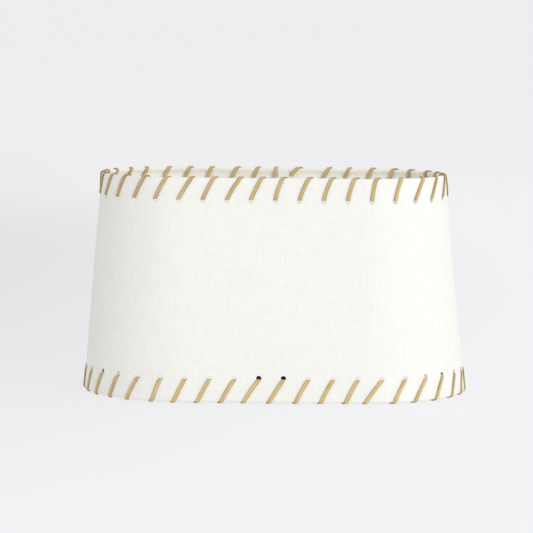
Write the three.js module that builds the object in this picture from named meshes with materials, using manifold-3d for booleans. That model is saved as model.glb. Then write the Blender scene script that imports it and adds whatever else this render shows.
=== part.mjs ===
// An oval hardback lamp shade with leather-laced rims, in millimetres, +Z up.
// The plan is a stadium: two straight sides joined by half-cone ends. X runs along it, the front faces -Y,
// and the origin is under its middle, on the surface that the bottom lace rests on. The shade is rolled by
// hand and stands a little out of true, so its top rim is offset along X from its bottom rim.
import * as THREE from 'three';
import { mergeGeometries, mergeVertices } from 'three/addons/utils/BufferGeometryUtils.js';
import Module from 'manifold-3d';

// Driving dimensions of the shade, over the linen.
const SHADE_HEIGHT = 229;
const STRAIGHT_HALF = 90.5;
const TOP_RADIUS = 91.75;
const BOTTOM_RADIUS = 112.75;
const TOP_OFFSET = -2.9;

// Sheet and wire sizes.
const LINEN = 0.5;
const STYRENE = 0.6;
const RING_WIRE = 2.4;
const HEM_DEPTH = 5.5;
const LAYER_GAP = 0.25;
const END_SEGMENTS = 24;

// Laces and the holes that they run through.
const LACE_WIDTH = 4;
const LACE_THICKNESS = 1.1;
const LACE_GAP = 0.45;
const HOLE_DIAMETER = 5.4;
const HOLE_SIDES = 6;
const LACE_PULL = 0.9;

// The seam strip down the inside of the back.
const STRIP_WIDTH = 12.5;
const STRIP_CENTRE = 11.75;
const STRIP_THICKNESS = 0.5;
const STRIP_END_INSET = 1.5;

// The fitter: a collar for the lamp holder, on four bent spokes.
const COLLAR_RADIUS = 21;
const COLLAR_WALL = 1.5;
const COLLAR_BOTTOM = 10;
const COLLAR_HEIGHT = 10;
const HOLDER_BORE_RADIUS = 16.75;
const SPOKE_WIRE = 2.8;
const SPOKE_LEVEL = 17.8;
const SPOKE_SIDES = 8;
const JOINT_GAP = 0.3;

// Heights of the linen's two edges, and depths into the wall from its outer face.
const BOTTOM_EDGE = LACE_GAP + LACE_THICKNESS;
const TOP_EDGE = BOTTOM_EDGE + SHADE_HEIGHT;
const STYRENE_OUTSIDE = LINEN + LAYER_GAP;
const STYRENE_INSIDE = STYRENE_OUTSIDE + STYRENE;
const WIRE_MIDDLE = STYRENE_INSIDE + LAYER_GAP + RING_WIRE / 2;
const HEM_OUTSIDE = WIRE_MIDDLE + RING_WIRE / 2 + LAYER_GAP;
const HEM_INSIDE = HEM_OUTSIDE + LINEN;
const ROLL_RADIUS = HEM_INSIDE - WIRE_MIDDLE;
const FACET_STEP = Math.PI / END_SEGMENTS;
const FLAT_SIDE_SHARE = Math.cos(FACET_STEP / 2);
const FACET_SAG = BOTTOM_RADIUS * (1 - FLAT_SIDE_SHARE);

// A rim's own facts. `up` is +1 where the rim is above its holes, and -1 where it is below them. Distances
// along the rim start at the front centre and grow towards +X, and the lace travels in the direction `up`.
// Its holes and leans are in travelling order: from the back seam, across the front, and back to the seam.
// A lean is how far along the rim a wrap's outer leg runs between its hole and the rim. Places at the back
// are given by their x.
const TOP_RIM = {
  up: 1,
  edge: TOP_EDGE,
  holeDepth: 23.6,
  firstBack: 24.2,
  front: [-222.1, 225],
  lastBack: 49,
  intervals: [11, 18, 8],
  firstLean: 20,
  frontLeans: [11, 11, 9.5, 10.6, 10.8, 12.4, 10.6, 12.6, 9.9, 6.6, 8.6, 7.2, 6, 4, 7, 12.4, 13, 15, 15],
  lastLean: 16.6,
  firstTail: { back: 20.8, drop: 15 },
  lastTail: { back: 18.9, drop: 8.5 },
};
const BOTTOM_RIM = {
  up: -1,
  edge: BOTTOM_EDGE,
  holeDepth: 24.5,
  firstBack: -0.8,
  front: [262.5, -244.3],
  lastBack: -25.6,
  intervals: [11, 20, 10],
  firstLean: 20,
  frontLeans: [
    10, 9.8, 9.4, 11.8, 14, 12, 16.4, 11.4, 11.6, 12, 13.8, 14.8, 12.7, 11.6, 10.6, 8, 11.6, 10, 10, 8.5, 9,
  ],
  lastLean: 16.6,
  firstTail: { back: 2.7, drop: 15 },
  lastTail: { back: 4.6, drop: 13 },
};
const PLAIN_LEAN = 12;
const LEAN_CHANGE = 2;
const LEAN_RHYTHM = 2.4;

const wasm = await Module();
wasm.setup();

const linenMaterial = new THREE.MeshStandardMaterial({ color: 0xf3f2ea, roughness: 0.95, metalness: 0 });
const styreneMaterial = new THREE.MeshStandardMaterial({ color: 0xe8e8ea, roughness: 0.45, metalness: 0 });
const leatherMaterial = new THREE.MeshStandardMaterial({ color: 0xc9a469, roughness: 0.6, metalness: 0 });
const steelMaterial = new THREE.MeshStandardMaterial({ color: 0x9a9da1, roughness: 0.35, metalness: 1 });
const blackMaterial = new THREE.MeshStandardMaterial({ color: 0x141415, roughness: 0.45, metalness: 0.2 });

function wallRadius(z) {
  return THREE.MathUtils.mapLinear(z, BOTTOM_EDGE, TOP_EDGE, BOTTOM_RADIUS, TOP_RADIUS);
}

function offsetAt(z) {
  return THREE.MathUtils.mapLinear(z, BOTTOM_EDGE, TOP_EDGE, 0, TOP_OFFSET);
}

function toSolid(geometry) {
  const bare = geometry.clone();
  bare.deleteAttribute('normal');
  bare.deleteAttribute('uv');
  const merged = mergeVertices(bare);
  return new wasm.Manifold(new wasm.Mesh({
    numProp: 3,
    vertProperties: new Float32Array(merged.getAttribute('position').array),
    triVerts: new Uint32Array(merged.getIndex().array),
  }));
}

function toGeometry(solid) {
  const mesh = solid.getMesh();
  const geometry = new THREE.BufferGeometry();
  geometry.setAttribute('position', new THREE.BufferAttribute(mesh.vertProperties, 3));
  geometry.setIndex(new THREE.BufferAttribute(mesh.triVerts, 1));
  geometry.computeVertexNormals();
  return geometry;
}

function cut(geometry, cutters) {
  return toGeometry(toSolid(geometry).subtract(toSolid(mergeGeometries(cutters))));
}

function part(name, geometry, material) {
  const mesh = new THREE.Mesh(geometry, material);
  mesh.name = name;
  return mesh;
}

// A closed band round the whole outline. The section's points are [depth into the wall, height]. It is
// turned as a cone, and then its two halves are drawn apart by the straight sides.
function band(section) {
  const points = section.map(([depth, z]) => new THREE.Vector2(wallRadius(z) - depth, z));
  points.push(points[0].clone());
  const geometry = new THREE.LatheGeometry(points, 2 * END_SEGMENTS, FACET_STEP / 2);
  geometry.rotateX(Math.PI / 2);
  const position = geometry.getAttribute('position');
  for (let i = 0; i < position.count; i++) {
    const x = position.getX(i);
    position.setX(i, x + Math.sign(x) * STRAIGHT_HALF + offsetAt(position.getZ(i)));
  }
  return geometry;
}

// The place and outward direction at a distance along a rim, measured at the level of its holes.
function outlineAt(rim, distance) {
  const holeRadius = wallRadius(rim.edge - rim.up * rim.holeDepth);
  const side = Math.sign(distance) || 1;
  const past = Math.abs(distance) - STRAIGHT_HALF;
  const roundLength = Math.PI * holeRadius;
  if (past <= 0) return { x: distance, angle: 0 };
  if (past <= roundLength) return { x: side * STRAIGHT_HALF, angle: side * past / holeRadius };
  return { x: side * (STRAIGHT_HALF - (past - roundLength)), angle: Math.PI };
}

function outwardAt(rim, distance) {
  const { angle } = outlineAt(rim, distance);
  return new THREE.Vector3(Math.sin(angle), -Math.cos(angle), 0);
}

// A point in a rim's own terms: distance along it, depth into the wall, and drop from its edge.
function rimPoint(rim, distance, depth, drop) {
  const z = rim.edge - rim.up * drop;
  const point = outwardAt(rim, distance).multiplyScalar(wallRadius(z) - depth);
  return point.add(new THREE.Vector3(outlineAt(rim, distance).x + offsetAt(z), 0, z));
}

// The distance along a rim of a place x on the back. The back is reached round the right end, or round the
// left end with a negative distance.
function backDistance(rim, x, side) {
  const halfRound = 2 * STRAIGHT_HALF + Math.PI * wallRadius(rim.edge - rim.up * rim.holeDepth);
  return side * halfRound - x;
}

function spread(from, to, intervals) {
  return Array.from({ length: intervals }, (_, i) => THREE.MathUtils.lerp(from, to, i / intervals));
}

// The distances of a rim's holes, in travelling order.
function holeDistances(rim) {
  const [toFront, across, toSeam] = rim.intervals;
  const [frontStart, frontEnd] = rim.front;
  const last = backDistance(rim, rim.lastBack, rim.up);
  return [
    ...spread(backDistance(rim, rim.firstBack, -rim.up), frontStart, toFront),
    ...spread(frontStart, frontEnd, across),
    ...spread(frontEnd, last, toSeam),
    last,
  ];
}

function leanOf(rim, hole, count) {
  if (hole === 0) return rim.firstLean;
  if (hole === count - 1) return rim.lastLean;
  const lean = rim.frontLeans[hole - rim.intervals[0]];
  return lean ?? PLAIN_LEAN + LEAN_CHANGE * Math.sin(LEAN_RHYTHM * hole);
}

function holeCutters(rim) {
  const radius = HOLE_DIAMETER / 2 / Math.cos(Math.PI / HOLE_SIDES);
  return holeDistances(rim).map((distance) => {
    const cutter = new THREE.CylinderGeometry(radius, radius, 4 * STYRENE_INSIDE, HOLE_SIDES, 1);
    cutter.rotateY(Math.PI / HOLE_SIDES);
    const { angle } = outlineAt(rim, distance);
    cutter.rotateZ(angle);
    const middle = rimPoint(rim, distance, STYRENE_INSIDE / 2, rim.holeDepth);
    return cutter.translate(middle.x, middle.y, middle.z);
  });
}

// The rolled rim's section, from its outer face over the edge to the hem, at `inset` inside its surface.
function rolledSection(edge, up, inset) {
  const turn = (ROLL_RADIUS - inset) * Math.SQRT1_2;
  const corner = edge - up * ROLL_RADIUS;
  return [
    [inset, corner],
    [ROLL_RADIUS - turn, corner + up * turn],
    [ROLL_RADIUS, edge - up * inset],
    [WIRE_MIDDLE, edge - up * inset],
    [WIRE_MIDDLE + turn, corner + up * turn],
    [HEM_INSIDE - inset, corner],
    [HEM_INSIDE - inset, edge - up * HEM_DEPTH],
  ];
}

function linenCover(cutters) {
  const section = [
    ...rolledSection(BOTTOM_EDGE, -1, 0).reverse(),
    ...rolledSection(TOP_EDGE, 1, 0),
    ...rolledSection(TOP_EDGE, 1, LINEN).reverse(),
    ...rolledSection(BOTTOM_EDGE, -1, LINEN),
  ];
  return cut(band(section), cutters);
}

function styreneLiner(cutters) {
  const low = BOTTOM_EDGE + ROLL_RADIUS;
  const high = TOP_EDGE - ROLL_RADIUS;
  const section = [
    [STYRENE_OUTSIDE, low],
    [STYRENE_OUTSIDE, high],
    [STYRENE_INSIDE, high],
    [STYRENE_INSIDE, low],
  ];
  return cut(band(section), cutters);
}

function ringWire(rim) {
  const middle = rim.edge - rim.up * ROLL_RADIUS;
  const section = Array.from({ length: 8 }, (_, i) => {
    const turn = (i + 0.5) * Math.PI / 4;
    return [WIRE_MIDDLE + RING_WIRE / 2 * Math.cos(turn), middle - RING_WIRE / 2 * Math.sin(turn)];
  });
  return band(section);
}

// The strip lies on the liner between the hems and steps up over them. It is the same all across.
function backSeamStrip() {
  const hemEnds = [BOTTOM_EDGE + HEM_DEPTH + STRIP_THICKNESS, TOP_EDGE - HEM_DEPTH - STRIP_THICKNESS];
  const ends = [BOTTOM_EDGE + STRIP_END_INSET + ROLL_RADIUS, TOP_EDGE - STRIP_END_INSET - ROLL_RADIUS];
  const under = [
    [HEM_INSIDE, ends[0]],
    [HEM_INSIDE, hemEnds[0]],
    [STYRENE_INSIDE, hemEnds[0] + HEM_INSIDE],
    [STYRENE_INSIDE, hemEnds[1] - HEM_INSIDE],
    [HEM_INSIDE, hemEnds[1]],
    [HEM_INSIDE, ends[1]],
  ];
  const near = under.map(([depth, z]) => [depth + LAYER_GAP, z]);
  const far = under.map(([depth, z]) => [depth + LAYER_GAP + STRIP_THICKNESS, z]).reverse();
  const outline = [...near, ...far].map(
    ([depth, z]) => new THREE.Vector2(FLAT_SIDE_SHARE * (wallRadius(z) - depth), z),
  );
  const settings = { depth: STRIP_WIDTH, bevelEnabled: false };
  const geometry = new THREE.ExtrudeGeometry(new THREE.Shape(outline), settings);
  geometry.rotateY(Math.PI / 2);
  geometry.rotateX(Math.PI / 2);
  geometry.translate(STRIP_CENTRE - STRIP_WIDTH / 2, 0, 0);
  const position = geometry.getAttribute('position');
  for (let i = 0; i < position.count; i++) {
    position.setX(i, position.getX(i) + offsetAt(position.getZ(i)));
  }
  return geometry;
}

// A path through stations, each {at, out}. A section's y axis is the station's `out`, and its x axis is
// square to that and to the path. A station may also say which way is `sideways`, and then its x axis is
// that way.
class StationPath extends THREE.Curve {
  constructor(stations) {
    super();
    this.stations = stations;
  }

  getSpacedPoints() {
    return this.stations.map((station) => station.at);
  }

  crossAt(index) {
    const { out, sideways } = this.stations[index];
    const before = this.stations[Math.max(index - 1, 0)].at;
    const after = this.stations[Math.min(index + 1, this.stations.length - 1)].at;
    return sideways ?? out.clone().cross(after.clone().sub(before)).normalize();
  }

  computeFrenetFrames() {
    const binormals = this.stations.map((station) => station.out);
    const normals = this.stations.map((_, index) => this.crossAt(index));
    const tangents = normals.map((normal, index) => normal.clone().cross(binormals[index]));
    return { tangents, normals, binormals };
  }
}

function extrudeAlong(shape, stations) {
  const settings = { steps: stations.length - 1, extrudePath: new StationPath(stations) };
  return new THREE.ExtrudeGeometry(shape, settings);
}

const OUTSIDE = -(LACE_GAP + LACE_THICKNESS / 2);
const INSIDE_WALL = STYRENE_INSIDE + FACET_SAG - OUTSIDE;
const INSIDE_HEM = HEM_INSIDE + FACET_SAG - OUTSIDE;
const CORNER = (ROLL_RADIUS - OUTSIDE) * Math.SQRT1_2;
const LACE_BEND = 1.8;
const BEND_INSET = 0.45;
const HEM_CLEARANCE = 0.7;

// One station of a lace. `outward` and `rimward` say which way its outer face looks.
function laceStation(rim, distance, depth, drop, outward, rimward) {
  const out = outwardAt(rim, distance).multiplyScalar(outward);
  out.z = rim.up * rimward;
  return { at: rimPoint(rim, distance, depth, drop), out: out.normalize() };
}

// Over the rim from outside to inside, starting at `from` and advancing along the rim by `slope` for each
// millimetre of lace.
function overRim(rim, from, slope) {
  const steps = [
    [OUTSIDE, ROLL_RADIUS, 1, 0],
    [ROLL_RADIUS - CORNER, ROLL_RADIUS - CORNER, 1, 1],
    [ROLL_RADIUS, OUTSIDE, 0, 1],
    [WIRE_MIDDLE, OUTSIDE, 0, 1],
    [WIRE_MIDDLE + CORNER, ROLL_RADIUS - CORNER, -1, 1],
    [INSIDE_HEM, ROLL_RADIUS, -1, 0],
    [INSIDE_HEM, HEM_DEPTH + HEM_CLEARANCE, -1, 0],
  ];
  let distance = from;
  return steps.map(([depth, drop, outward, rimward], i) => {
    const [lastDepth, lastDrop] = steps[Math.max(i - 1, 0)];
    distance += slope * Math.hypot(depth - lastDepth, drop - lastDrop);
    return laceStation(rim, distance, depth, drop, outward, rimward);
  });
}

// Through a hole from inside to outside. The slopes are those of the legs on each side of it.
function throughHole(rim, distance, slopeIn, slopeOut) {
  const drop = rim.holeDepth - LACE_PULL;
  const sideways = outwardAt(rim, distance).cross(new THREE.Vector3(0, 0, rim.up));
  return [
    laceStation(rim, distance - slopeIn * LACE_BEND, INSIDE_WALL, drop - LACE_BEND, -1, 0),
    { ...laceStation(rim, distance, INSIDE_WALL - BEND_INSET, drop, -1, -1), sideways },
    { ...laceStation(rim, distance, OUTSIDE + BEND_INSET, drop, 1, -1), sideways },
    laceStation(rim, distance + slopeOut * LACE_BEND, OUTSIDE, drop - LACE_BEND, 1, 0),
  ];
}

// A whole lace: an inner tail at the seam strip, one wrap for each hole, and another tail at the strip.
function laceStations(rim) {
  const holes = holeDistances(rim);
  const legLength = rim.holeDepth - LACE_PULL - ROLL_RADIUS;
  const innerLength = legLength + INSIDE_HEM + ROLL_RADIUS;
  const firstTail = backDistance(rim, rim.firstTail.back, -rim.up);
  const lastTail = backDistance(rim, rim.lastTail.back, rim.up);
  const stations = [laceStation(rim, firstTail, INSIDE_WALL, rim.firstTail.drop, -1, 0)];
  let slope = (holes[0] - firstTail) / (rim.holeDepth - rim.firstTail.drop);
  holes.forEach((distance, i) => {
    const advance = rim.up * leanOf(rim, i, holes.length);
    stations.push(...throughHole(rim, distance, slope, advance / legLength));
    slope = ((holes[i + 1] ?? lastTail) - distance - advance) / innerLength;
    stations.push(...overRim(rim, distance + advance, slope));
  });
  return [...stations, laceStation(rim, lastTail, INSIDE_HEM, rim.lastTail.drop, -1, 0)];
}

function lace(rim) {
  const halfWidth = LACE_WIDTH / 2;
  const half = LACE_THICKNESS / 2;
  const section = new THREE.Shape([
    new THREE.Vector2(-halfWidth, -half),
    new THREE.Vector2(halfWidth, -half),
    new THREE.Vector2(halfWidth, half),
    new THREE.Vector2(-halfWidth, half),
  ]);
  return extrudeAlong(section, laceStations(rim));
}

function fitterCollar() {
  const top = COLLAR_BOTTOM + COLLAR_HEIGHT;
  const inner = COLLAR_RADIUS - COLLAR_WALL;
  const profile = [
    [inner, COLLAR_BOTTOM],
    [COLLAR_RADIUS, COLLAR_BOTTOM],
    [COLLAR_RADIUS, top],
    [HOLDER_BORE_RADIUS, top],
    [HOLDER_BORE_RADIUS, top - COLLAR_WALL],
    [inner, top - COLLAR_WALL],
    [inner, COLLAR_BOTTOM],
  ].map(([radius, z]) => new THREE.Vector2(radius, z));
  return new THREE.LatheGeometry(profile, 32).rotateX(Math.PI / 2);
}

// A spoke along +X from the ring wire at `reach` to the collar: level through the hem, up by its offset in
// a slanting bend, and level again to the collar.
function fitterSpoke(reach) {
  const ringLevel = BOTTOM_EDGE + ROLL_RADIUS;
  const route = [
    [reach, ringLevel],
    [reach - 3, ringLevel],
    [reach - 4.6, ringLevel + 1],
    [reach - 11.4, SPOKE_LEVEL - 1.2],
    [reach - 13.2, SPOKE_LEVEL],
    [COLLAR_RADIUS + JOINT_GAP, SPOKE_LEVEL],
  ];
  const section = new THREE.Shape(Array.from({ length: SPOKE_SIDES }, (_, i) => {
    const turn = (i + 0.5) * 2 * Math.PI / SPOKE_SIDES;
    return new THREE.Vector2(Math.cos(turn), Math.sin(turn)).multiplyScalar(SPOKE_WIRE / 2);
  }));
  const across = new THREE.Vector3(0, 1, 0);
  return extrudeAlong(section, route.map(([x, z]) => ({ at: new THREE.Vector3(x, 0, z), out: across })));
}

const RING_INSIDE = (wallRadius(BOTTOM_EDGE + ROLL_RADIUS) - HEM_OUTSIDE + LAYER_GAP) * FLAT_SIDE_SHARE;
const RING_REACH = RING_INSIDE - JOINT_GAP;
const SPOKES = [
  { name: 'fitter_spoke_right', reach: STRAIGHT_HALF + RING_REACH, turn: 0 },
  { name: 'fitter_spoke_back', reach: RING_REACH, turn: Math.PI / 2 },
  { name: 'fitter_spoke_left', reach: STRAIGHT_HALF + RING_REACH, turn: Math.PI },
  { name: 'fitter_spoke_front', reach: RING_REACH, turn: -Math.PI / 2 },
];

// Slots in the bottom hem, where the spokes come out to the ring wire inside it.
function hemSlots() {
  const length = 3 * LINEN;
  const size = SPOKE_WIRE + 2 * JOINT_GAP;
  return SPOKES.map(({ reach, turn }) => {
    const slot = new THREE.BoxGeometry(length, size, HEM_DEPTH);
    const x = reach + JOINT_GAP - LAYER_GAP - length / 2;
    return slot.translate(x, 0, BOTTOM_EDGE + ROLL_RADIUS + HEM_DEPTH / 2 - size / 2).rotateZ(turn);
  });
}

function lampShade() {
  const group = new THREE.Group();
  const holes = [...holeCutters(TOP_RIM), ...holeCutters(BOTTOM_RIM)];
  const coverCutters = [...holes, ...hemSlots()];
  group.add(
    part('linen_cover', linenCover(coverCutters), linenMaterial),
    part('styrene_liner', styreneLiner(holes), styreneMaterial),
    part('back_seam_strip', backSeamStrip(), linenMaterial),
    part('top_ring_wire', ringWire(TOP_RIM), steelMaterial),
    part('bottom_ring_wire', ringWire(BOTTOM_RIM), steelMaterial),
    part('top_lace', lace(TOP_RIM), leatherMaterial),
    part('bottom_lace', lace(BOTTOM_RIM), leatherMaterial),
    part('fitter_collar', fitterCollar(), blackMaterial),
  );
  for (const { name, reach, turn } of SPOKES) {
    const spoke = part(name, fitterSpoke(reach), blackMaterial);
    spoke.rotation.z = turn;
    group.add(spoke);
  }
  return group;
}

export default lampShade();
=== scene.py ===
"""The looks of an oval hardback lamp shade with leather-laced rims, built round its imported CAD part.

The front faces -Y. Shapes are worked out in millimetres, and make_mesh turns them into metres.
"""

import math
from types import SimpleNamespace

import bmesh
import bpy
import numpy as np
from mathutils import Matrix, Vector, geometry

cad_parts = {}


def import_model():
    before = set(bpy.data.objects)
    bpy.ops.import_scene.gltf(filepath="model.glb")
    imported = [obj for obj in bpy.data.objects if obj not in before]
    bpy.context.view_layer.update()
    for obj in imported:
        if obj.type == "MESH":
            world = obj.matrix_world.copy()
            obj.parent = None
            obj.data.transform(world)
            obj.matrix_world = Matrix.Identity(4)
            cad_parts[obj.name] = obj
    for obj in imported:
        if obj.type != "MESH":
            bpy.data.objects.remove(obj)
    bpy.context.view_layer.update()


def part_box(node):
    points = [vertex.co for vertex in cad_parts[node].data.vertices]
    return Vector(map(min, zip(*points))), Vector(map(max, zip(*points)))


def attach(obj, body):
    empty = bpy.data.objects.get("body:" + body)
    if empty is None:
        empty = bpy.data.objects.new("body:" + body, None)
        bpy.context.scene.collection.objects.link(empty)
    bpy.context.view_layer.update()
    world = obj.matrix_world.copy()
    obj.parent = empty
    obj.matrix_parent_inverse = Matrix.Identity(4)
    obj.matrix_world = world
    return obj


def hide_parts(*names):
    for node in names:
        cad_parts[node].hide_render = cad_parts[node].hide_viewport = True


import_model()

MM = 0.001
SEED = 7


def box(node):
    """A CAD node's lowest and highest corners, in millimetres."""
    low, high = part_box(node)
    return low / MM, high / MM


# The wall, over the linen. Its plan is two straight sides joined by half-cone ends, and the top rim is
# offset along X from the bottom rim.
cover_low, cover_high = box("linen_cover")
BOTTOM_EDGE = cover_low.z
TOP_EDGE = cover_high.z
STRAIGHT_HALF = (cover_high.x - cover_low.x) / 2 - cover_high.y
TOP_RADIUS = 91.75
BOTTOM_RADIUS = 112.75
TOP_OFFSET = -2.9

# Layers of the wall, as depths from its outer face, and the roll of linen over each ring wire. HEM_SLANT is
# in degrees, and RIM_PART is the height of wall that belongs to a rim's section.
LINEN = 0.5
STYRENE_OUTSIDE = 0.53
STYRENE_INSIDE = 1.35
RING_WIRE = 2.4
WIRE_MIDDLE = 2.8
ROLL_RADIUS = 1.95
HEM_SLANT = 42
HEM_DEPTH = 6
RIM_PART = 8
SHEET_COLUMNS = 420

# The linen's cream tint, as distances from its cut edges: full up to the first, and gone at the second.
HEM_CREAM = (6.5, 9.5)

# The lap joint of the linen and the strip behind it, by their x at the back.
LAP_START = 7.5
LAP_END = 16
LAP_RISE = 0.53
LAP_FADE = 4
STRIP_LEFT = 5.5
STRIP_RIGHT = 18
STRIP_THICKNESS = 0.4
STRIP_CROWN = 0.12

# Laces. For about CURL_REACH each way from a hole, a lace is narrower by LACE_PINCH of its width, and its
# edges rise by LACE_CURL. LACE_UNEVENNESS is a share of its width, and EDGE_THINNING one of its thickness.
LACE_WIDTH = 4
LACE_THICKNESS = 1.5
LACE_GAP = 0.06
LACE_SIDES = 16
LACE_CURL = 0.85
CURL_REACH = 1.5
LACE_PINCH = 0.06
LACE_UNEVENNESS = 0.12
EDGE_THINNING = 0.18
TAIL_PRESS = 0.8

# Their holes. In a hole the lace is pulled off centre towards its rim, by HOLE_PULL, and the punch has dented
# the wall round it, by PUNCH_PRESS.
HOLE_RADIUS = 2.7
HOLE_PULL = 2.0
HOLE_SIDES = 28
PUNCH_PRESS = 0.16
PUNCH_REACH = 1.3

# A rim's own facts. Distances along it start at the front centre and grow towards +X. The lace travels in
# the direction `up`, and its holes and leans are in that order, from the back seam right round to it again.
# A lean is how far a wrap's outer leg runs along the rim between its hole and the edge, and `bow` is how far
# that leg stands off a straight line. Tails and back holes are given by their x at the back.
TOP_RIM = SimpleNamespace(
    up=1,
    edge=TOP_EDGE,
    hole_depth=23.6,
    first_back=24.2,
    front=(-222.1, 225),
    last_back=49,
    intervals=(11, 18, 8),
    first_lean=20,
    front_leans=(11, 11, 9.5, 10.6, 10.8, 12.4, 10.6, 12.6, 9.9, 6.6, 8.6, 7.2, 6, 4, 7, 12.4, 13, 15, 15),
    last_lean=16.6,
    bow=0.6,
    first_tail=(20.8, 15),
    last_tail=(18.9, 8.5),
)
BOTTOM_RIM = SimpleNamespace(
    up=-1,
    edge=BOTTOM_EDGE,
    hole_depth=24.5,
    first_back=-0.8,
    front=(262.5, -244.3),
    last_back=-25.6,
    intervals=(11, 20, 10),
    first_lean=20,
    front_leans=(
        10, 9.8, 9.4, 11.8, 14, 12, 16.4, 11.4, 11.6, 12, 13.8,
        14.8, 12.7, 11.6, 10.6, 8, 11.6, 10, 10, 8.5, 9,
    ),
    last_lean=16.6,
    bow=-0.4,
    first_tail=(2.7, 15),
    last_tail=(4.6, 13),
)
PLAIN_LEAN = 12
LEAN_CHANGE = 2
LEAN_RHYTHM = 2.4


# ---- The wall's surface ----

ROUND_END = math.pi * BOTTOM_RADIUS
HALF_ROUND = 2 * STRAIGHT_HALF + ROUND_END

# At each of the distances that `knots` gives: the turn of the wall's outward direction from the front, and
# the x that its radius is measured from.
END_TURNS = [-math.pi, -math.pi, 0, 0, math.pi, math.pi]
END_PLACES = [STRAIGHT_HALF * side for side in (1, -1, -1, 1, 1, -1)]


def wall_radius(z):
    return np.interp(z, [BOTTOM_EDGE, TOP_EDGE], [BOTTOM_RADIUS, TOP_RADIUS])


def offset_at(z):
    return np.interp(z, [BOTTOM_EDGE, TOP_EDGE], [0, TOP_OFFSET])


def knots(radius):
    """Distances round an outline of that radius where its straight sides start and end."""
    round_end = math.pi * radius
    reach = [3 * STRAIGHT_HALF + round_end, STRAIGHT_HALF + round_end, STRAIGHT_HALF]
    return [-d for d in reach] + reach[::-1]


def outward_at(around):
    """The level direction out of the wall."""
    turn = np.interp(around, knots(BOTTOM_RADIUS), END_TURNS)
    return np.stack([np.sin(turn), -np.cos(turn), 0 * turn], axis=-1)


def place(around, z, depth):
    """Points by the distance round the bottom edge from the front centre, height and depth into the wall."""
    turn = np.interp(around, knots(BOTTOM_RADIUS), END_TURNS)
    radius = wall_radius(z) - depth
    x = np.interp(around, knots(BOTTOM_RADIUS), END_PLACES) + offset_at(z) + radius * np.sin(turn)
    return np.stack([x, -radius * np.cos(turn), z + 0 * x], axis=-1)


def level_radius(rim):
    return wall_radius(rim.edge - rim.up * rim.hole_depth)


def from_rim(rim, distance):
    """Turns distances along a rim, measured at its holes, into distances round the bottom edge."""
    return np.interp(distance, knots(level_radius(rim)), knots(BOTTOM_RADIUS))


def back_distance(rim, x, side):
    """The distance along a rim of a place x on the back, reached round the end on that side."""
    return side * (2 * STRAIGHT_HALF + math.pi * level_radius(rim)) - x


def hole_distances(rim):
    """The distances of a rim's holes, in the order of its lace."""
    to_front, across, to_seam = rim.intervals
    start = back_distance(rim, rim.first_back, -rim.up)
    last = back_distance(rim, rim.last_back, rim.up)
    front_start, front_end = rim.front
    return np.concatenate([
        np.linspace(start, front_start, to_front, endpoint=False),
        np.linspace(front_start, front_end, across, endpoint=False),
        np.linspace(front_end, last, to_seam, endpoint=False),
        [last],
    ])


def ripple(around, z):
    """How far the wall stands out of true, as a rolled laminate does."""
    slow = 0.13 * np.sin(around / 31 + z / 47 + 1.1) + 0.1 * np.sin(around / 17.3 - z / 38)
    return slow + 0.05 * np.sin(around / 7.9 + z / 61 + 2.3)


def lap_rise(around):
    """How far the linen's outer end stands off the wall where it laps over its other end."""
    past = around + HALF_ROUND + LAP_START - LAP_FADE / 2
    return LAP_RISE * np.clip(1 - past / LAP_FADE, 0, 1) ** 0.7


# ---- Meshes ----

def make_mesh(name, points, faces, uv=None, sharp=50):
    """A smooth mesh object, with sharp edges where its faces turn by more than `sharp` degrees."""
    mesh = bpy.data.meshes.new(name)
    mesh.from_pydata((np.asarray(points) * MM).tolist(), [], faces)
    if uv is not None:
        corners = np.zeros(len(mesh.loops), int)
        mesh.loops.foreach_get("vertex_index", corners)
        layer = mesh.uv_layers.new(name="UVMap")
        layer.data.foreach_set("uv", np.asarray(uv, float)[corners].ravel())
    editor = bmesh.new()
    editor.from_mesh(mesh)
    bmesh.ops.recalc_face_normals(editor, faces=editor.faces)
    editor.to_mesh(mesh)
    editor.free()
    mesh.shade_smooth()
    mesh.set_sharp_from_angle(angle=math.radians(sharp))
    piece = bpy.data.objects.new(name, mesh)
    bpy.context.scene.collection.objects.link(piece)
    return piece


def finish_piece(piece, node, material):
    """The piece rides on the frame and stands for its CAD node."""
    piece.data.materials.append(material)
    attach(piece, "root")
    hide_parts(node)
    return piece


def grid(columns, rows):
    """A flat grid of quads, as points (column, row) and faces."""
    across, along = np.meshgrid(columns, rows)
    points = np.stack([across.ravel(), along.ravel()], axis=-1)
    wide = len(columns)
    faces = [
        (j * wide + i, j * wide + i + 1, (j + 1) * wide + i + 1, (j + 1) * wide + i)
        for j in range(len(rows) - 1)
        for i in range(wide - 1)
    ]
    return points, faces


def hole_stretch(rim, around):
    """How much wider a hole is in distance round the bottom edge than in the wall itself."""
    turn = np.abs(np.interp(around, knots(BOTTOM_RADIUS), END_TURNS))
    on_end = (turn > 0) & (turn < math.pi)
    return np.where(on_end, BOTTOM_RADIUS / level_radius(rim), 1.0)


# The mesh round each hole: rings of points, as (share of its radius, how many of its sides a step spans), and
# how many radii the plain rows of points stay from its middle.
HOLE_RINGS = ((1, 1), (1.28, 1), (1.65, 2))
ROW_CLEARANCE = 2.4


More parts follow.
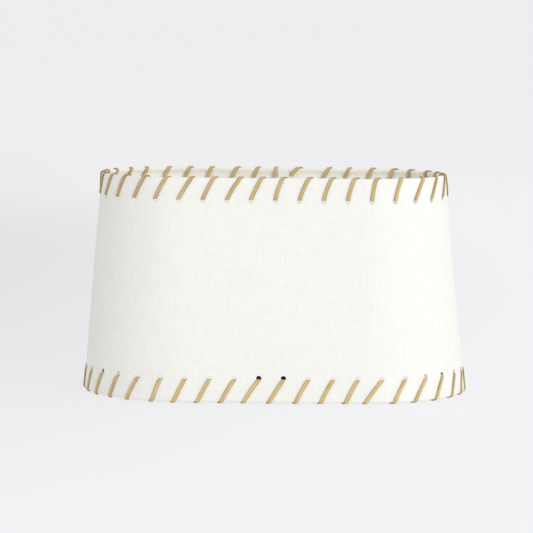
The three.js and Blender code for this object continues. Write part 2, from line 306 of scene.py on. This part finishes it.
def holed_band(columns, low, high, rim, middle):
    """A flat band with a row of round holes along its `middle` height, triangulated round them."""
    holes = from_rim(rim, hole_distances(rim))
    stretch = hole_stretch(rim, holes)
    turns = np.arange(HOLE_SIDES) * 2 * math.pi / HOLE_SIDES
    points = [np.stack([columns, np.full(len(columns), edge)], axis=-1) for edge in (low, high)]
    wide = len(columns)
    edges = [(row * wide + i, row * wide + i + 1) for row in (0, 1) for i in range(wide - 1)]
    edges += [(0, wide), (wide - 1, 2 * wide - 1)]
    count = 2 * wide
    for share, step in HOLE_RINGS:
        radius, used = HOLE_RADIUS * share, turns[::step]
        for centre, wider in zip(holes, stretch):
            ring = np.stack([centre + wider * radius * np.cos(used), middle + radius * np.sin(used)], axis=-1)
            points.append(ring)
            if share == 1:
                edges += [(count + i, count + (i + 1) % len(used)) for i in range(len(used))]
            count += len(used)
    for level in (-0.5, 0, 0.5):
        row = np.stack([columns[1:-1], np.full(wide - 2, middle + level * (high - low) / 2)], axis=-1)
        clear = np.min(np.abs(row[:, :1] - holes), axis=1) > ROW_CLEARANCE * HOLE_RADIUS
        points.append(row[clear])
    flat = np.concatenate(points)
    made = geometry.delaunay_2d_cdt([Vector(p) for p in flat], edges, [], 0, 1e-6)
    found = np.array([list(v) for v in made[0]])
    inside = [
        face for face in made[2]
        if np.min(np.hypot(
            (found[face].mean(axis=0)[0] - holes) / stretch,
            found[face].mean(axis=0)[1] - middle,
        )) > HOLE_RADIUS * 0.98
    ]
    return found, [tuple(face) for face in inside]


def merge(parts):
    """Joins flat pieces of one sheet where their points coincide."""
    points = np.concatenate([p for p, _ in parts])
    starts = np.cumsum([0] + [len(p) for p, _ in parts[:-1]])
    _, kept, index = np.unique(np.round(points, 4), axis=0, return_index=True, return_inverse=True)
    index = index.ravel()
    faces = [
        tuple(int(index[start + i]) for i in face)
        for start, (_, part_faces) in zip(starts, parts)
        for face in part_faces
    ]
    return points[kept], faces


def thicken(outer, inner, faces):
    """A closed sheet between two surfaces that share their faces."""
    count = len(outer)
    sides = {}
    for face in faces:
        for a, b in zip(face, face[1:] + face[:1]):
            sides[(a, b)] = sides.get((a, b), 0) + 1
    rims = [(a, b) for a, b in sides if (b, a) not in sides]
    back = [tuple(i + count for i in reversed(face)) for face in faces]
    walls = [(b, a, a + count, b + count) for a, b in rims]
    return np.concatenate([outer, inner]), list(faces) + back + walls


def sweep(centres, sides, outs, section, closed=False):
    """A solid along a path. `section` is (x, y) for each corner, or that for each station."""
    section = np.broadcast_to(section, (len(centres),) + np.shape(section)[-2:])
    rings = centres[:, None] + section[..., :1] * sides[:, None] + section[..., 1:] * outs[:, None]
    count, corners = rings.shape[:2]
    joins = count if closed else count - 1
    faces = [
        (
            i * corners + j,
            i * corners + (j + 1) % corners,
            (i + 1) % count * corners + (j + 1) % corners,
            (i + 1) % count * corners + j,
        )
        for i in range(joins)
        for j in range(corners)
    ]
    if not closed:
        faces.append(tuple(range(corners))[::-1])
        faces.append(tuple((count - 1) * corners + j for j in range(corners)))
    return rings.reshape(-1, 3), faces


def unit(vectors):
    return vectors / np.linalg.norm(vectors, axis=-1, keepdims=True)


def smooth(values, spread):
    """Values evenly spaced along a path, softened over `spread` steps."""
    reach = int(3 * spread) + 1
    weights = np.exp(-0.5 * (np.arange(-reach, reach + 1) / spread) ** 2)
    padded = np.pad(values, reach, mode="edge")
    return np.convolve(padded, weights / weights.sum(), mode="valid")


# ---- Linen cover and styrene liner ----

# How far in from a sheet's raw ends their waver fades.
FRAY_REACH = 1.5


def arc(depth, drop, radius, start, end, steps=9):
    """Points (depth, drop) on an arc, with the direction that each one faces. Angles are in degrees."""
    turns = np.radians(np.linspace(start, end, steps))
    facing = np.stack([np.cos(turns), np.sin(turns)], axis=-1)
    return np.concatenate([[depth, drop] + radius * facing, facing], axis=1)


def hem_section(rim):
    """From the wall over the rim to the hem's raw edge: (depth, height, outward, upward) at each point.

    The hem leaves the wire at HEM_SLANT and comes back to the liner, where its last bit is glued down.
    """
    roll = arc(WIRE_MIDDLE, ROLL_RADIUS, ROLL_RADIUS, 270, 360 + HEM_SLANT, steps=13)
    glued = STYRENE_INSIDE + LINEN
    landing = roll[-1, 1] + (roll[-1, 0] - glued) / math.tan(math.radians(HEM_SLANT))
    section = np.concatenate([
        [[0, RIM_PART, -1, 0]],
        arc(ROLL_RADIUS, ROLL_RADIUS, ROLL_RADIUS, 180, 270),
        roll,
        [[glued, landing, *roll[-1, 2:]], [glued, landing + 0.3, 1, 0], [glued, landing + 1, 1, 0]],
    ])
    depth, drop, deeper, lower = section.T
    return np.stack([depth, rim.edge - rim.up * drop, -deeper, -rim.up * lower], axis=-1)


def along_section(section):
    """Each point's distance along a section."""
    steps = np.hypot(np.diff(section[:, 0]), np.diff(section[:, 1]))
    return np.concatenate([[0], np.cumsum(steps)])


def wall_sheet(section, columns, thickness, rise, wavy_ends):
    """A sheet with both rows of holes. `section` runs from its lower end to its upper end.

    `rise` gives how far it stands off the wall by the distance round, and its raw ends wander by `wavy_ends`.
    """
    reach = along_section(section)
    on_wall = section[:, 2] > 0.99
    levels = [rim.edge - rim.up * rim.hole_depth for rim in (BOTTOM_RIM, TOP_RIM)]
    middles = [np.interp(z, section[on_wall, 1], reach[on_wall]) for z in levels]
    half_band = 5.6
    low_end, high_start = middles[0] - half_band, middles[1] + half_band
    between = np.linspace(middles[0] + half_band, middles[1] - half_band, 40)
    rows_below = np.append(reach[reach < low_end - 1], low_end)
    rows_above = np.append(high_start, reach[reach > high_start + 1])
    flat, faces = merge([
        grid(columns, rows_below),
        holed_band(columns, low_end, between[0], BOTTOM_RIM, middles[0]),
        grid(columns, between),
        holed_band(columns, between[-1], high_start, TOP_RIM, middles[1]),
        grid(columns, rows_above),
    ])
    around, along = flat.T
    depth, z, outward, upward = (np.interp(along, reach, section[:, k]) for k in range(4))
    pressed = np.zeros(len(flat))
    for rim, middle in zip((BOTTOM_RIM, TOP_RIM), middles):
        holes = from_rim(rim, hole_distances(rim))
        apart = np.hypot(
            (around[:, None] - holes) / hole_stretch(rim, holes),
            along[:, None] - middle,
        ).min(axis=1)
        pressed += PUNCH_PRESS * np.exp(-((apart - HOLE_RADIUS) / PUNCH_REACH) ** 2)
    from_end = np.minimum(along, reach[-1] - along)
    waves = np.sin(around / 3.1) + np.sin(around / 1.37 + 1) + np.sin(around / 9)
    fray = wavy_ends * np.exp(-from_end / FRAY_REACH) * waves
    z = z + np.where(along < reach[-1] / 2, fray, -fray)
    proud = ripple(around, z) + rise(around) - pressed
    surfaces = [
        place(around, z + upward * h, depth - outward * h)
        for h in (proud, proud - thickness)
    ]
    points, faces = thicken(*surfaces, faces)
    return points, faces, np.concatenate([flat, flat])


def linen_cover():
    """The linen with both hems. The last result is how far it was cut, from raw edge to raw edge."""
    wall = np.linspace(BOTTOM_EDGE + RIM_PART, TOP_EDGE - RIM_PART, 60)[1:-1]
    section = np.concatenate([
        hem_section(BOTTOM_RIM)[::-1],
        [[0, z, 1, 0] for z in wall],
        hem_section(TOP_RIM),
    ])
    columns = np.linspace(-HALF_ROUND - LAP_END, HALF_ROUND - LAP_START, SHEET_COLUMNS)
    sheet = wall_sheet(section, columns, LINEN, rise=lap_rise, wavy_ends=0.08)
    return (*sheet, along_section(section)[-1])


def styrene_liner():
    """The stiff sheet inside the linen. Its ends meet at the back with a hairline gap."""
    half_gap = 0.2
    low, high = BOTTOM_EDGE + ROLL_RADIUS, TOP_EDGE - ROLL_RADIUS
    section = np.array([[STYRENE_OUTSIDE, z, 1, 0] for z in np.linspace(low, high, 60)])
    middle = (LAP_START + LAP_END) / 2
    ends = (-HALF_ROUND - middle + half_gap, HALF_ROUND - middle - half_gap)
    columns = np.linspace(*ends, SHEET_COLUMNS)
    thickness = STYRENE_INSIDE - STYRENE_OUTSIDE
    return wall_sheet(section, columns, thickness, rise=lambda around: 0, wavy_ends=0)


def back_strip():
    """The strip lies on the liner, and steps up over both hems and on to the rolled rims."""
    low, high = (box("back_seam_strip")[k].z for k in (0, 1))
    on_roll, on_hem, on_liner = 4.73, 2.63, 1.53
    route = [
        [on_roll, low],
        [on_hem, BOTTOM_EDGE + HEM_DEPTH],
        [on_liner, BOTTOM_EDGE + HEM_DEPTH + 3],
        [on_liner, TOP_EDGE - HEM_DEPTH - 3],
        [on_hem, TOP_EDGE - HEM_DEPTH],
        [on_roll, high],
    ]
    depths, heights = np.array(route).T
    rows = np.linspace(low, high, 150)
    depth_at = smooth(np.interp(rows, heights, depths), 1.2)
    columns = np.linspace(-1, 1, 9)
    flat, faces = grid(columns, rows)
    across, z = flat.T
    middle, half = (STRIP_LEFT + STRIP_RIGHT) / 2, (STRIP_RIGHT - STRIP_LEFT) / 2
    edge = 0.12 * np.sin(z / 5.3) + 0.1 * np.sin(z / 1.9) + 0.15 * np.sin(z / 31)
    around = HALF_ROUND - middle - across * half - edge * np.abs(across)
    depth = np.interp(z, rows, depth_at) - ripple(around, z)
    crown = STRIP_CROWN * (1 - across**2)
    surfaces = [place(around, z, depth + crown + h) for h in (STRIP_THICKNESS, 0)]
    points, faces = thicken(*surfaces, faces)
    return points, faces, np.concatenate([np.stack([around, z], axis=-1)] * 2)


# ---- Laces ----

# Depths of a lace's middle outside and inside the wall, and the radii of its turns in a hole and at a rim.
LACE_OUT = -(LACE_GAP + LACE_THICKNESS / 2)
LACE_IN = STYRENE_INSIDE - LACE_OUT
TURN_RADIUS = (LACE_IN - LACE_OUT) / 2
RIM_TURN = ROLL_RADIUS - LACE_OUT
TURN_STEPS = 9
LEG_STEPS = 10
LACE_STEP = 0.6


def wrap_section(rim):
    """One wrap, from the inside of a hole, out through it, over the rim and down inside to the next hole."""
    turn_drop = rim.hole_depth - HOLE_PULL - TURN_RADIUS
    turn = arc(LACE_IN - TURN_RADIUS, turn_drop, TURN_RADIUS, 0, 180, TURN_STEPS)
    leg = np.array([[LACE_OUT, drop, -1, 0] for drop in np.linspace(turn_drop, ROLL_RADIUS, LEG_STEPS)[1:-1]])
    first = arc(ROLL_RADIUS, ROLL_RADIUS, RIM_TURN, 180, 270)
    second = arc(WIRE_MIDDLE, ROLL_RADIUS, RIM_TURN, 270, 370)
    return np.concatenate([turn, leg, first, second])


def lean_of(rim, hole, count):
    """The lean of the wrap that starts at a hole, out of `count` holes."""
    if hole == 0:
        return rim.first_lean
    if hole == count - 1:
        return rim.last_lean
    on_front = hole - rim.intervals[0]
    if 0 <= on_front < len(rim.front_leans):
        return rim.front_leans[on_front]
    return PLAIN_LEAN + LEAN_CHANGE * math.sin(LEAN_RHYTHM * hole)


def lace_route(rim):
    """A lace's path, (distance along the rim, depth, drop, deeper, lower), and its places in the holes."""
    holes = hole_distances(rim)
    wrap = wrap_section(rim)
    first_x, first_drop = rim.first_tail
    last_x, last_drop = rim.last_tail
    path = np.concatenate([
        [[LACE_IN, first_drop, 1, 0]],
        np.tile(wrap, (len(holes), 1)),
        [[WIRE_MIDDLE + RIM_TURN - TAIL_PRESS, last_drop, 1, 0]],
    ])
    reach = along_section(path)
    starts = 1 + len(wrap) * np.arange(len(holes))
    in_hole = starts + TURN_STEPS // 2
    at_rim = starts + TURN_STEPS + LEG_STEPS - 2
    leans = np.array([rim.up * lean_of(rim, i, len(holes)) for i in range(len(holes))])
    corners = np.concatenate([[0], np.stack([in_hole, at_rim], axis=1).ravel(), [len(path) - 1]])
    distances = np.concatenate([
        [back_distance(rim, first_x, -rim.up)],
        np.stack([holes, holes + leans], axis=1).ravel(),
        [back_distance(rim, last_x, rim.up)],
    ])
    distance = np.interp(reach, reach[corners], distances)
    for start, end in zip(reach[in_hole], reach[at_rim]):
        share = np.clip((reach - start) / (end - start), 0, 1)
        distance -= rim.up * rim.bow * 4 * share * (1 - share)
    return np.column_stack([distance, path]), in_hole


def lace_shape():
    """A lace's rounded section, as shares of its width and of half its thickness."""
    turns = np.arange(LACE_SIDES) * 2 * math.pi / LACE_SIDES + math.pi / LACE_SIDES
    across, out = np.cos(turns), np.sin(turns)
    across = np.sign(across) * np.abs(across) ** 0.32
    out = np.sign(out) * np.abs(out) ** 0.55
    return across / 2, out


def lace_frame(rim):
    """A lace's middle line at even steps, with the directions across it and out of its face.

    Its first results are the distance along the lace and how deep each step is in a hole, from 0 to 1.
    """
    route, holes = lace_route(rim)
    steps = np.linalg.norm(np.diff(route[:, :3], axis=0), axis=1)
    reach = np.concatenate([[0], np.cumsum(steps)])
    along = np.linspace(0, reach[-1], int(reach[-1] / LACE_STEP))
    distance, depth, drop, deeper, lower = (
        smooth(np.interp(along, reach, values), spread)
        for values, spread in zip(route.T, (1.6, 0.7, 0.7, 0.7, 0.7))
    )
    in_hole = np.exp(-(np.abs(along[:, None] - reach[holes]).min(axis=1) / CURL_REACH) ** 2)
    around = from_rim(rim, distance)
    z = rim.edge - rim.up * drop
    outside = np.clip(-deeper, 0, 1)
    proud = (ripple(around, z) + lap_rise(around) * (outside + np.clip(-lower, 0, 1))) * outside
    centres = place(around, z - rim.up * lower * proud, depth + deeper * proud)
    outward = outward_at(around)
    upward = np.array([0, 0, 1.0])
    outs = -deeper[:, None] * outward - rim.up * lower[:, None] * upward
    travel = unit(np.gradient(centres, axis=0))
    outs = unit(outs - travel * np.sum(outs * travel, axis=1, keepdims=True))
    sides = np.cross(outs, travel)
    level = unit(np.cross(outward, upward)) * -rim.up
    level = level * np.sign(np.sum(level * sides, axis=1, keepdims=True))
    sides = unit(sides * (1 - in_hole[:, None]) + level * in_hole[:, None])
    outs = unit(outs - sides * np.sum(outs * sides, axis=1, keepdims=True))
    return along, in_hole, centres, sides, outs


def lace(rim, seed):
    """A lace whose width wanders, and whose edges curl up where it turns in a hole."""
    random = np.random.default_rng(seed)
    along, in_hole, centres, sides, outs = lace_frame(rim)
    across, out = lace_shape()
    slow, quick = (smooth(random.normal(size=len(along)), spread) for spread in (12, 3))
    uneven = 0.35 * slow + 0.08 * quick
    width = LACE_WIDTH * (1 + LACE_UNEVENNESS * uneven) * (1 - LACE_PINCH * in_hole)
    x = across * width[:, None]
    y = out * LACE_THICKNESS / 2 * (1 - EDGE_THINNING * (2 * across) ** 4)
    curl = LACE_CURL * in_hole[:, None] * (2 * across) ** 2
    section = np.stack([x, y + curl], axis=-1)
    points, faces = sweep(centres, sides, outs, section)
    uv = np.stack([np.repeat(along, LACE_SIDES), np.tile(across * 2, len(along))], axis=-1)
    return points, faces, uv


# ---- Wires and fitter ----

SPOKE_RADIUS = 1.4
COLLAR_WALL = 1.5
HOLDER_BORE_RADIUS = 16.75
SHOULDER_RADIUS = 1.6


def ring_wire(rim):
    """The closed round wire inside a rolled rim."""
    z = rim.edge - rim.up * ROLL_RADIUS
    around = np.linspace(-HALF_ROUND, HALF_ROUND, 400, endpoint=False)
    centres = place(around, np.full(len(around), z), WIRE_MIDDLE)
    upward = np.tile([0, 0, 1.0], (len(around), 1))
    return sweep(centres, outward_at(around), upward, circle(RING_WIRE / 2, 12), closed=True)


def circle(radius, sides):
    turns = np.arange(sides) * 2 * math.pi / sides
    return radius * np.stack([np.cos(turns), np.sin(turns)], axis=-1)


def spoke(node, turn):
    """A bent wire from the ring to the collar, with a bead of weld at each end.

    Its route is (distance from the axis, height): level off the ring, up a slope, and level to the collar.
    """
    low, high = box(node)
    reach = max(abs(low.x), abs(high.x)) if turn in (0, 180) else max(abs(low.y), abs(high.y))
    ring_level, level = low.z + SPOKE_RADIUS, high.z - SPOKE_RADIUS
    route = np.array([
        [reach, ring_level],
        [reach - 3, ring_level],
        [reach - 4.6, ring_level + 1],
        [reach - 11.4, level - 1.2],
        [reach - 13.2, level],
        [box("fitter_collar")[1].x, level],
    ])
    steps = along_section(route)
    along = np.linspace(0, steps[-1], int(steps[-1] / 0.8))
    x, z = (smooth(np.interp(along, steps, route[:, k]), 1.5) for k in range(2))
    x[0], x[-1] = route[0, 0], route[-1, 0]
    ends = np.minimum(along, along[-1] - along)
    bead = 1 + 0.28 * np.exp(-(ends / 1.6) ** 2) - 0.25 * np.exp(-(ends / 0.5) ** 2)
    centres = np.stack([x, 0 * x, z], axis=-1)
    travel = unit(np.gradient(centres, axis=0))
    sides = np.tile([0, 1.0, 0], (len(x), 1))
    section = circle(SPOKE_RADIUS, 16) * bead[:, None, None]
    points, faces = sweep(centres, sides, np.cross(sides, travel), section)
    c, s = math.cos(math.radians(turn)), math.sin(math.radians(turn))
    return points @ np.array([[c, s, 0], [-s, c, 0], [0, 0, 1]]), faces


def collar():
    """A pressed ring, with a rolled lower edge, a rounded shoulder and a flat flange round the bore."""
    low, high = box("fitter_collar")
    outer, inner, under = high.x, high.x - COLLAR_WALL, high.z - COLLAR_WALL
    rolled_in, rolled_up, chamfer, fillet = 0.4, 0.5, 0.3, 0.5
    outline = [
        [inner, low.z + rolled_up],
        [inner + rolled_in, low.z],
        [outer - rolled_in, low.z],
        [outer, low.z + rolled_up],
    ]
    outline += [
        [outer - SHOULDER_RADIUS * (1 - math.cos(turn)), high.z - SHOULDER_RADIUS * (1 - math.sin(turn))]
        for turn in np.linspace(0, math.pi / 2, 7)
    ]
    outline += [
        [HOLDER_BORE_RADIUS + chamfer, high.z],
        [HOLDER_BORE_RADIUS, high.z - chamfer],
        [HOLDER_BORE_RADIUS, under + chamfer],
        [HOLDER_BORE_RADIUS + chamfer, under],
        [inner - fillet, under],
        [inner, under - fillet],
    ]
    turns = np.linspace(0, 2 * math.pi, 96, endpoint=False)
    outs = np.stack([np.cos(turns), np.sin(turns), 0 * turns], axis=-1)
    ups = np.tile([0, 0, 1.0], (len(turns), 1))
    return sweep(0 * outs, outs, ups, np.array(outline), closed=True)


# ---- Materials ----

class Finish:
    """A procedural material. Its constants are set on the shader's own sockets."""

    def __init__(self, name, **constants):
        self.material = bpy.data.materials.new(name)
        self.material.use_nodes = True
        self.tree = self.material.node_tree
        self.shader = self.tree.nodes["Principled BSDF"]
        for socket, value in constants.items():
            self.shader.inputs[socket.replace("_", " ")].default_value = value

    def add(self, kind, inputs, output=0, **settings):
        node = self.tree.nodes.new(kind)
        for name, value in settings.items():
            setattr(node, name, value)
        for name, value in inputs.items():
            if isinstance(value, bpy.types.NodeSocket):
                self.tree.links.new(value, node.inputs[name])
            else:
                node.inputs[name].default_value = value
        return node.outputs[output]

    def math(self, operation, *values):
        return self.add("ShaderNodeMath", dict(enumerate(values)), operation=operation)

    def scaled(self, vector, x, y, z=1):
        return self.add("ShaderNodeVectorMath", {0: vector, 1: (x, y, z)}, operation="MULTIPLY")

    def noise(self, vector, scale=1, detail=2, roughness=0.5):
        inputs = {"Vector": vector, "Scale": scale, "Detail": detail, "Roughness": roughness}
        return self.add("ShaderNodeTexNoise", inputs)

    def ramp(self, value, *stops):
        node = self.tree.nodes.new("ShaderNodeValToRGB")
        self.tree.links.new(value, node.inputs[0])
        points = node.color_ramp.elements
        while len(points) < len(stops):
            points.new(0.5)
        for point, (position, colour) in zip(points, stops):
            point.position = position
            point.color = (*colour, 1)
        return node.outputs[0]

    def bump(self, height, distance, normal=None):
        inputs = {"Height": height, "Distance": distance, "Strength": 1}
        if normal is not None:
            inputs["Normal"] = normal
        return self.add("ShaderNodeBump", inputs)

    def wire(self, **sockets):
        for socket, output in sockets.items():
            self.tree.links.new(output, self.shader.inputs[socket.replace("_", " ")])
        return self.material


def linen_material(cut):
    """Plain-woven slubby linen, `cut` mm from end to end, with a cream tint along its hems.

    The surface's coordinates are millimetres along its two threads.
    """
    finish = Finish("slubby linen", Roughness=0.92, Sheen_Weight=0.15, Sheen_Roughness=0.6, IOR=1.4)
    flat = finish.add("ShaderNodeUVMap", {}, uv_map="UVMap")
    wander = finish.add("ShaderNodeTexNoise", {"Vector": flat, "Scale": 0.12, "Detail": 2}, output="Color")
    moved = finish.add(
        "ShaderNodeVectorMath", {0: wander, 1: (3.2, 3.2, 0), 2: flat}, operation="MULTIPLY_ADD",
    )
    weft_slubs = finish.noise(finish.scaled(moved, 0.055, 1.25), detail=3)
    warp_slubs = finish.noise(finish.scaled(moved, 1.1, 0.04), detail=3)
    threads_at = finish.scaled(moved, 4.2, 4.2)
    across, up = (finish.add("ShaderNodeSeparateXYZ", {"Vector": threads_at}, output=k) for k in (0, 1))
    weave = finish.math("MULTIPLY", finish.math("SINE", across), finish.math("SINE", up))
    slubs = finish.math("ADD", weft_slubs, warp_slubs)
    tone = finish.math("MULTIPLY", slubs, 0.5)
    cloth = finish.ramp(
        tone,
        (0.3, (0.78, 0.775, 0.725)),
        (0.5, (0.845, 0.838, 0.79)),
        (0.68, (0.88, 0.873, 0.83)),
    )
    reach = finish.add("ShaderNodeSeparateXYZ", {"Vector": flat}, output=1)
    from_end = finish.math("MINIMUM", reach, finish.math("SUBTRACT", cut, reach))
    hem_range = {"Value": from_end, "From Min": HEM_CREAM[0], "From Max": HEM_CREAM[1]}
    plain = finish.add("ShaderNodeMapRange", hem_range)
    tint = finish.ramp(plain, (0, (0.99, 0.965, 0.9)), (1, (1, 1, 1)))
    colour = finish.add("ShaderNodeVectorMath", {0: cloth, 1: tint}, operation="MULTIPLY")
    threads = finish.bump(slubs, 0.0002)
    return finish.wire(Base_Color=colour, Normal=finish.bump(weave, 0.00004, threads))


def styrene_material():
    """Satin sheet plastic, a little cloudy. Its coordinates are millimetres along and across it."""
    finish = Finish("satin styrene", Roughness=0.42, IOR=1.55)
    flat = finish.add("ShaderNodeUVMap", {}, uv_map="UVMap")
    cloud = finish.noise(flat, 0.02, detail=3)
    grain = finish.noise(flat, 1.6, detail=3)
    colour = finish.ramp(cloud, (0.3, (0.805, 0.803, 0.797)), (0.7, (0.865, 0.863, 0.857)))
    return finish.wire(Base_Color=colour, Normal=finish.bump(grain, 0.00003))


def leather_material(name, gain):
    """Tan leather lace. Its coordinates are millimetres along it, and -1 to 1 across it."""
    finish = Finish(name, Roughness=0.6, IOR=1.5, Specular_IOR_Level=0.3)
    flat = finish.add("ShaderNodeUVMap", {}, uv_map="UVMap")
    along = finish.add("ShaderNodeSeparateXYZ", {"Vector": flat}, output=0)
    across = finish.add("ShaderNodeSeparateXYZ", {"Vector": flat}, output=1)
    side = finish.math("ABSOLUTE", across)
    lace_mm = finish.add("ShaderNodeCombineXYZ", {"X": along, "Y": finish.math("MULTIPLY", across, 2)})
    patches = finish.noise(finish.scaled(lace_mm, 0.06, 0.3), detail=3)
    fibres = finish.noise(finish.scaled(lace_mm, 0.5, 3.5), detail=4)
    grain = finish.noise(lace_mm, 5, detail=4, roughness=0.6)
    # Darker towards the lace's edges: partly its darker cut edges, partly painted shade on its rounded sides.
    cut_edges_and_shade = finish.math("MULTIPLY", finish.math("POWER", side, 5), 0.3)
    tone = finish.math("ADD", finish.math("MULTIPLY", patches, 0.6), finish.math("MULTIPLY", fibres, 0.4))
    tone = finish.math("SUBTRACT", tone, cut_edges_and_shade)
    hide = finish.ramp(
        tone,
        (0.02, (0.21, 0.13, 0.05)),
        (0.32, (0.42, 0.298, 0.127)),
        (0.54, (0.57, 0.417, 0.19)),
        (0.75, (0.69, 0.526, 0.257)),
    )
    colour = finish.scaled(hide, gain, gain, gain)
    rough = finish.math("MULTIPLY_ADD", grain, 0.3, 0.42)
    relief = finish.math("ADD", grain, finish.math("MULTIPLY", fibres, 0.8))
    return finish.wire(Base_Color=colour, Roughness=rough, Normal=finish.bump(relief, 0.00006))


def metal_material(name, low, high, roughness, metallic, specular):
    """Bare or painted metal, whose colour drifts between `low` and `high`."""
    finish = Finish(name, Metallic=metallic, IOR=1.5, Specular_IOR_Level=specular)
    position = finish.add("ShaderNodeTexCoord", {}, output="Object")
    grain = finish.noise(position, 900, detail=3)
    cloud = finish.noise(position, 60, detail=2)
    colour = finish.ramp(cloud, (0.3, low), (0.7, high))
    rough = finish.math("MULTIPLY_ADD", grain, 0.15, roughness)
    return finish.wire(Base_Color=colour, Roughness=rough, Normal=finish.bump(grain, 0.00001))


# ---- Pieces ----

# The bottom lace uses the same leather as the top one, drawn 12% brighter.
leathers = {
    "top": leather_material("tan leather, top lace", 1.0),
    "bottom": leather_material("tan leather, bottom lace", 1.12),
}
steel = metal_material(
    "steel wire", (0.5, 0.51, 0.53), (0.62, 0.63, 0.65), roughness=0.28, metallic=1, specular=0.5,
)
black = metal_material(
    "satin black paint", (0.001,) * 3, (0.003,) * 3, roughness=0.5, metallic=0, specular=0.25,
)

cover_points, cover_faces, cover_uv, cover_cut = linen_cover()
linen = linen_material(cover_cut)
cover = finish_piece(
    make_mesh("linen-cover", cover_points, cover_faces, cover_uv), "linen_cover", linen,
)
styrene = styrene_material()
liner = finish_piece(make_mesh("styrene-liner", *styrene_liner()), "styrene_liner", styrene)
strip = finish_piece(make_mesh("seam-strip", *back_strip()), "back_seam_strip", linen)
for name, node, rim in (("top", "top_lace", TOP_RIM), ("bottom", "bottom_lace", BOTTOM_RIM)):
    finish_piece(make_mesh(f"{name}-lace", *lace(rim, SEED + rim.up)), node, leathers[name])
    wire = make_mesh(f"{name}-ring-wire", *ring_wire(rim))
    finish_piece(wire, f"{name}_ring_wire", steel)
finish_piece(make_mesh("fitter-collar", *collar(), sharp=35), "fitter_collar", black)
for side, turn in (("right", 0), ("back", 90), ("left", 180), ("front", 270)):
    node = f"fitter_spoke_{side}"
    finish_piece(make_mesh(f"spoke-{side}", *spoke(node, turn)), node, black)


# ---- Studio ----

def backdrop():
    """A seamless lit sheet: a floor that sweeps up into a wall well outside every view of the object.

    It carries a painted shade: a little dimmer in a wide soft patch behind the left of the shade.
    """
    half_span, level_half, sweep_scale = 6200, 3200, 2000
    reach = np.linspace(-half_span, half_span, 63)
    flat, faces = grid(reach, reach)
    past = np.clip(np.abs(flat) - level_half, 0, None)
    points = np.column_stack([flat, (past**2).sum(axis=1) / sweep_scale])
    piece = make_mesh("backdrop", points, faces)
    grey = (0.13, 0.13, 0.131, 1)
    finish = Finish("pale backdrop", Base_Color=grey, Roughness=0.9, Emission_Strength=0.735)
    position = finish.add("ShaderNodeTexCoord", {}, output="Object")
    # A painted shade in the backdrop's glow, centred behind the left of the shade.
    from_painted_shade = finish.add("ShaderNodeVectorMath", {0: position, 1: (-0.9, 1.3, 0)}, operation="SUBTRACT")
    within = finish.scaled(from_painted_shade, 1 / 1.3, 1 / 2.4, 0)
    painted_shade_patch = finish.add("ShaderNodeTexGradient", {"Vector": within}, gradient_type="SPHERICAL")
    glow = finish.ramp(painted_shade_patch, (0, (0.98, 0.984, 1)), (1, (0.736, 0.739, 0.75)))
    piece.data.materials.append(finish.wire(Emission_Color=glow))


def area_light(name, at, aim, size, power):
    data = bpy.data.lights.new(name, "AREA")
    data.shape = "RECTANGLE"
    data.size, data.size_y = size
    data.energy = power
    light = bpy.data.objects.new(name, data)
    light.location = at
    light.rotation_euler = (Vector(aim) - Vector(at)).to_track_quat("-Z", "Y").to_euler()
    bpy.context.scene.collection.objects.link(light)


def inner_glow(x):
    """Part of the light that a translucent wall passes on into the shade."""
    data = bpy.data.lights.new("inner glow", "POINT")
    data.energy = 0.05
    data.color = (1, 0.9, 0.7)
    data.shadow_soft_size = 0.06
    light = bpy.data.objects.new("inner glow", data)
    light.location = (x, 0, 0.12)
    light.visible_camera = False
    bpy.context.scene.collection.objects.link(light)


def world(colour, strength):
    made = bpy.data.worlds.new("studio air")
    made.use_nodes = True
    made.node_tree.nodes["Background"].inputs["Color"].default_value = (*colour, 1)
    made.node_tree.nodes["Background"].inputs["Strength"].default_value = strength
    bpy.context.scene.world = made


def camera():
    """The view is from just above, turned a little to the right and rolled a little clockwise."""
    distance, rise, turn, roll = 2.59149, math.radians(5.9858), math.radians(0.2393), math.radians(0.5009)
    data = bpy.data.cameras.new("camera")
    data.sensor_width = 36
    data.lens = 164.036
    data.shift_x, data.shift_y = -0.01647, 0.02548
    target = Vector((0, 0, (BOTTOM_EDGE + TOP_EDGE) / 2 * MM))
    look = Vector((math.sin(turn) * math.cos(rise), math.cos(turn) * math.cos(rise), -math.sin(rise)))
    right = Vector((math.cos(turn), -math.sin(turn), 0))
    level = Matrix((right, right.cross(look), -look)).transposed().to_4x4()
    made = bpy.data.objects.new("camera", data)
    made.matrix_world = Matrix.Translation(target - look * distance) @ level @ Matrix.Rotation(roll, 4, "Z")
    bpy.context.scene.collection.objects.link(made)
    bpy.context.scene.camera = made


backdrop()
world((0.97, 0.98, 1), 0.72)
area_light("key", at=(1.3, -2.5, 1.05), aim=(0, 0, 0.12), size=(1.8, 1.5), power=29)
area_light("right fill", at=(2.7, 0.1, 0.9), aim=(0, 0, 0.12), size=(1.4, 1.5), power=7)
area_light("top fill", at=(0.3, 0.1, 3.4), aim=(0, 0, 0), size=(2.6, 2.2), power=9)
inner_glow(-0.09)
inner_glow(0.09)
camera()
bpy.context.scene.view_settings.view_transform = "Standard"
